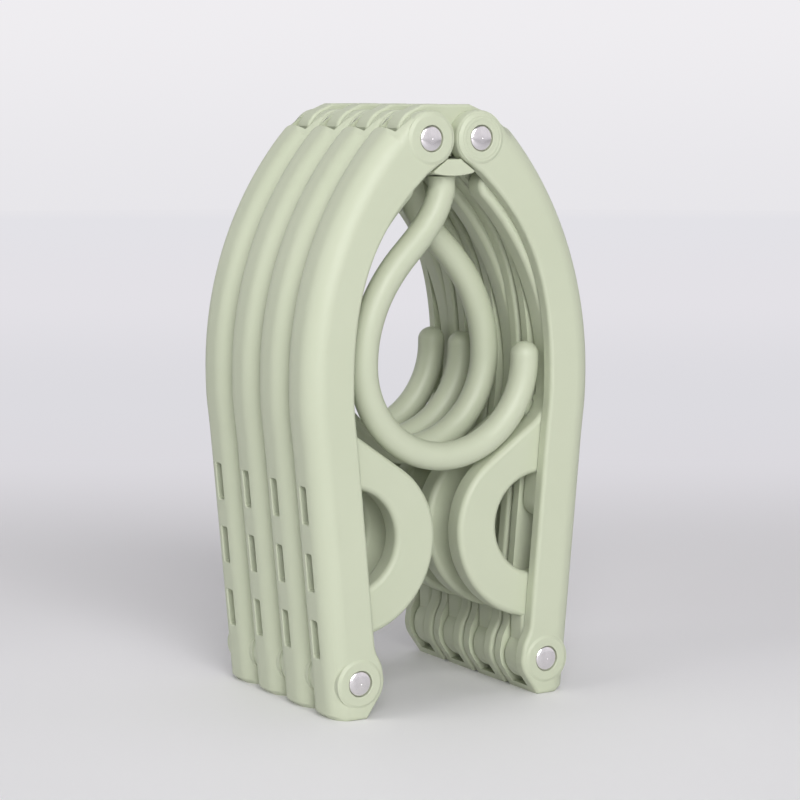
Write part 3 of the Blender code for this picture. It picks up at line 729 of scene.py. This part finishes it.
def slot(number):
    """A slot through the web with rounded corners and a small lead-in outside."""
    centre = foot + lean * ((foot_drop + first_slot_rise + number * slot_pitch) / lean.z)
    away = spot(lean.z, -lean.x)
    layers = []
    for reach, grow in ((-2 * web_wall, 0), (-slot_lead_in, 0), (past, past + slot_lead_in)):
        ring = []
        for sx, sz, start in ((1, 1, 0), (-1, 1, 1), (-1, -1, 2), (1, -1, 3)):
            for k in range(5):
                turn = pi / 2 * (start + k / 4)
                y = sx * (slot_size[0] / 2 - slot_corner) + (slot_corner + grow) * cos(turn)
                z = sz * (slot_size[1] / 2 - slot_corner) + (slot_corner + grow) * sin(turn)
                ring.append(centre + away * reach + Vector((0, y, 0)) + lean * z)
        layers.append(ring)
    return loft(layers)


def arm_tools(eye_rings):
    """The steps that turn the arm's blank into the moulding."""
    tools = [("UNION", turned(boss(eye_boss_radius, eye_rings), 96, hub_pivot)),
             ("UNION", turned(boss(tip_boss_radius), 80, tip_pivot)),
             ("DIFFERENCE", slab(channel(), arm_depth / 2 - ear_wall)),
             ("DIFFERENCE", slab(shoulder_gap(), arm_depth / 2 - shoulder_wall))]
    tools += [("UNION", pad) for pad in eye_wall_pads()]
    tools += [("DIFFERENCE", slot(number)) for number in range(slot_count)]
    tools += [("DIFFERENCE", turned(rivet_bore(), 64, pivot)) for pivot in (hub_pivot, tip_pivot)]
    return tools


arm_plastic = moulded_plastic("arm_plastic", sage, sage_shade, 0.00002, 0.40)
right_arm = moulded(loft(layers), "right_arm", arm_tools(eye_ring_shares))
left_arm = mirrored(moulded(loft(layers), "left_arm", arm_tools(())), "left_arm_mirrored")
fit_to_hangers(right_arm, "right_arm", arm_plastic, "right_arm_{}")
fit_to_hangers(left_arm, "left_arm", arm_plastic, "left_arm_{}")


# Trouser bars
# One moulding each: a knob on the tip rivet, a dip for straps closed by a round finger,
# and a long rail that follows the arm's curve and nests in its channel.
bar_depth = 0.0084
bar_rim = 0.0019
knob_radius = 0.0082
knob_outer_drop = 0.0035
knob_start_angle = -radians(60)
column_inner_x = 0.0285
column_width = 0.0115
column_top_x = 0.0430
dip_inner_x = 0.0044
dip_rise = 0.0429
dip_low_radius = 0.0300
dip_high_radius = 0.0262
dip_hole_centre = spot(0.0346, foot_drop + 0.0435)
dip_hole_radius = 0.0161
dip_shoulder = radians(35)
finger_end_rise = 0.0448
rail_width = 0.0105
rail_inner_x = 0.0375
rail_inner_radius = 0.08108
rail_centre_rise = 0.09009
rail_lean = radians(7.5)
rail_end_angle = radians(45.5)
shoulder_round_share = 0.80
corner_pull_share = 0.6


def meeting(start, along, other, other_along):
    """Where two straight lines of the hanger's plane meet."""
    across = along.x * other_along.z - along.z * other_along.x
    away = other - start
    return start + along * ((away.x * other_along.z - away.z * other_along.x) / across)


column_outer_x = column_inner_x + column_width
knob_end = atan2(sqrt(knob_radius**2 - (tip_pivot.x - column_inner_x)**2), column_inner_x - tip_pivot.x)
bar = [spot(column_outer_x, tip_pivot.z - knob_outer_drop)]
bar += arc(tip_pivot, knob_radius, knob_start_angle, knob_end - 2 * pi, 26)
dip_low = spot(dip_inner_x + dip_low_radius, foot_drop + dip_rise)
dip_high = spot(dip_inner_x + dip_high_radius, foot_drop + dip_rise)
dip_start = atan2(-sqrt(dip_low_radius**2 - (dip_low.x - column_inner_x)**2), column_inner_x - dip_low.x)
bar += arc(dip_low, dip_low_radius, dip_start, -pi, 24)
bar += arc(dip_high, dip_high_radius, -pi, dip_shoulder + pi / 2 - 2 * pi, 20)[1:]
rail_centre = spot(rail_inner_x - rail_inner_radius, foot_drop + rail_centre_rise)
rail_foot = rail_centre + rail_inner_radius * spot(cos(rail_lean), -sin(rail_lean))
rail_along = spot(sin(rail_lean), cos(rail_lean))
corner = meeting(bar[-1], spot(cos(dip_shoulder), sin(dip_shoulder)), rail_foot, rail_along)
run = corner - bar[-1]
round_start = bar[-1] + run * shoulder_round_share
round_end = corner + rail_along * run.length * (1 - shoulder_round_share)
bar += bezier(round_start, round_start.lerp(corner, corner_pull_share),
              round_end.lerp(corner, corner_pull_share), round_end, 8)
bar += arc(rail_centre, rail_inner_radius, -rail_lean, rail_end_angle, 36)[1:]
rail_middle = rail_inner_radius + rail_width / 2
rail_tip = rail_centre + rail_middle * spot(cos(rail_end_angle), sin(rail_end_angle))
bar += arc(rail_tip, rail_width / 2, rail_end_angle + pi, rail_end_angle, 22)[1:]
bar += arc(rail_centre, rail_inner_radius + rail_width, rail_end_angle, -rail_lean, 36)[1:]
finger_drop = rail_centre.z - rail_middle * sin(rail_lean) - (foot_drop + finger_end_rise + rail_width / 2)
finger = (rail_centre + rail_middle * spot(cos(rail_lean), -sin(rail_lean))
          - rail_along * (finger_drop / cos(rail_lean)))
bar += arc(finger, rail_width / 2, -rail_lean, -rail_lean - pi, 22)
finger_side = bar[-1] - dip_hole_centre
climb = finger_side.dot(rail_along)
to_rim = sqrt(climb**2 - finger_side.length_squared + dip_hole_radius**2) - climb
hole_top = finger_side + rail_along * to_rim
hole_low = sqrt(dip_hole_radius**2 - (column_top_x - dip_hole_centre.x)**2)
bar += arc(dip_hole_centre, dip_hole_radius, atan2(hole_top.z, hole_top.x),
           atan2(-hole_low, column_top_x - dip_hole_centre.x) + 2 * pi, 44)
knob_hole = turned([(shank_hole_radius, -bar_depth), (shank_hole_radius, bar_depth)],
                   shank_hole_sides, tip_pivot)
bar_plastic = moulded_plastic("bar_plastic", sage, sage_shade, 0.000015, 0.38)
right_bar = moulded(slab(bar, bar_depth / 2, bar_rim, 7), "right_bar", [("DIFFERENCE", knob_hole)])
fit_to_hangers(right_bar, "right_bar", bar_plastic, "right_bar_{}")
fit_to_hangers(mirrored(right_bar, "left_bar"), "left_bar", bar_plastic, "left_bar_{}")


# Rivets
# Bright steel rivets through the ears. The head has a rolled edge and a low dome, turned
# with fine rings, and lies in its recess with a thin dark gap round it.
head_radius = 0.0039
shank_radius = 0.0020
head_edge = 0.0003
head_gap = 0.0003
crown_rise = 0.0001
dimple_radius = 0.00025
dimple_depth = 0.00020
dome_steps = 18
dome_width_power = 0.72
dome_height_power = 0.9
rivet_sides = 64
steel = (0.86, 0.83, 0.845)
steel_shade = (0.72, 0.69, 0.705)
steel_roughness = (0.08, 0.22)
ring_scale = 620.0
ring_wobble = 0.8
ring_mark_depth = 0.000012
ring_mark_strength = 0.5
scuff_scale = 900.0

crown = arm_depth / 2 + boss_rise + crown_rise
seat = arm_depth / 2 + boss_rise - recess_depth + head_gap
edge = seat + head_edge
dome = [(0, -crown + dimple_depth), (dimple_radius, -crown)]
for k in range(1, dome_steps + 1):
    turn = pi / 2 * k / dome_steps
    dome.append((head_radius * sin(turn)**dome_width_power,
                 -edge - (crown - edge) * cos(turn)**dome_height_power))
dome += [(head_radius, -seat), (shank_radius, -seat)]
rivet_mesh = moulded(turned(dome + [(r, -y) for r, y in reversed(dome)], rivet_sides), "rivet")

rivet_steel, tree, shader = new_shader("rivet_steel")
place = tree.nodes.new("ShaderNodeTexCoord")
rings = tree.nodes.new("ShaderNodeTexWave")
rings.wave_type = "RINGS"
rings.rings_direction = "Y"
rings.inputs["Scale"].default_value = ring_scale
rings.inputs["Distortion"].default_value = ring_wobble
scuff = tree.nodes.new("ShaderNodeTexNoise")
scuff.inputs["Scale"].default_value = scuff_scale
tint = tree.nodes.new("ShaderNodeMix")
tint.data_type = "RGBA"
tint.inputs["A"].default_value = (*steel, 1)
tint.inputs["B"].default_value = (*steel_shade, 1)
dull = tree.nodes.new("ShaderNodeMapRange")
dull.inputs["To Min"].default_value = steel_roughness[0]
dull.inputs["To Max"].default_value = steel_roughness[1]
marks = tree.nodes.new("ShaderNodeBump")
marks.inputs["Distance"].default_value = ring_mark_depth
marks.inputs["Strength"].default_value = ring_mark_strength
tree.links.new(place.outputs["Object"], rings.inputs["Vector"])
tree.links.new(place.outputs["Object"], scuff.inputs["Vector"])
tree.links.new(scuff.outputs["Fac"], tint.inputs["Factor"])
tree.links.new(scuff.outputs["Fac"], dull.inputs["Value"])
tree.links.new(rings.outputs["Fac"], marks.inputs["Height"])
tree.links.new(tint.outputs["Result"], shader.inputs["Base Color"])
tree.links.new(dull.outputs["Result"], shader.inputs["Roughness"])
tree.links.new(marks.outputs["Normal"], shader.inputs["Normal"])
shader.inputs["Metallic"].default_value = 1.0
rivet_mesh.materials.append(rivet_steel)

for n in hangers:
    for side, sign in (("left", -1), ("right", 1)):
        for end, pivot, body in (("hub", hub_pivot, f"hanger_{n}"), ("tip", tip_pivot, f"{side}_arm_{n}")):
            rivet = bpy.data.objects.new(f"{side}_{end}_rivet_{n}_steel", rivet_mesh)
            rivet.location = (sign * pivot.x, depths[n], pivot.z)
            bpy.context.scene.collection.objects.link(rivet)
            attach(rivet, body)
            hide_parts(f"{side}_{end}_rivet_{n}")
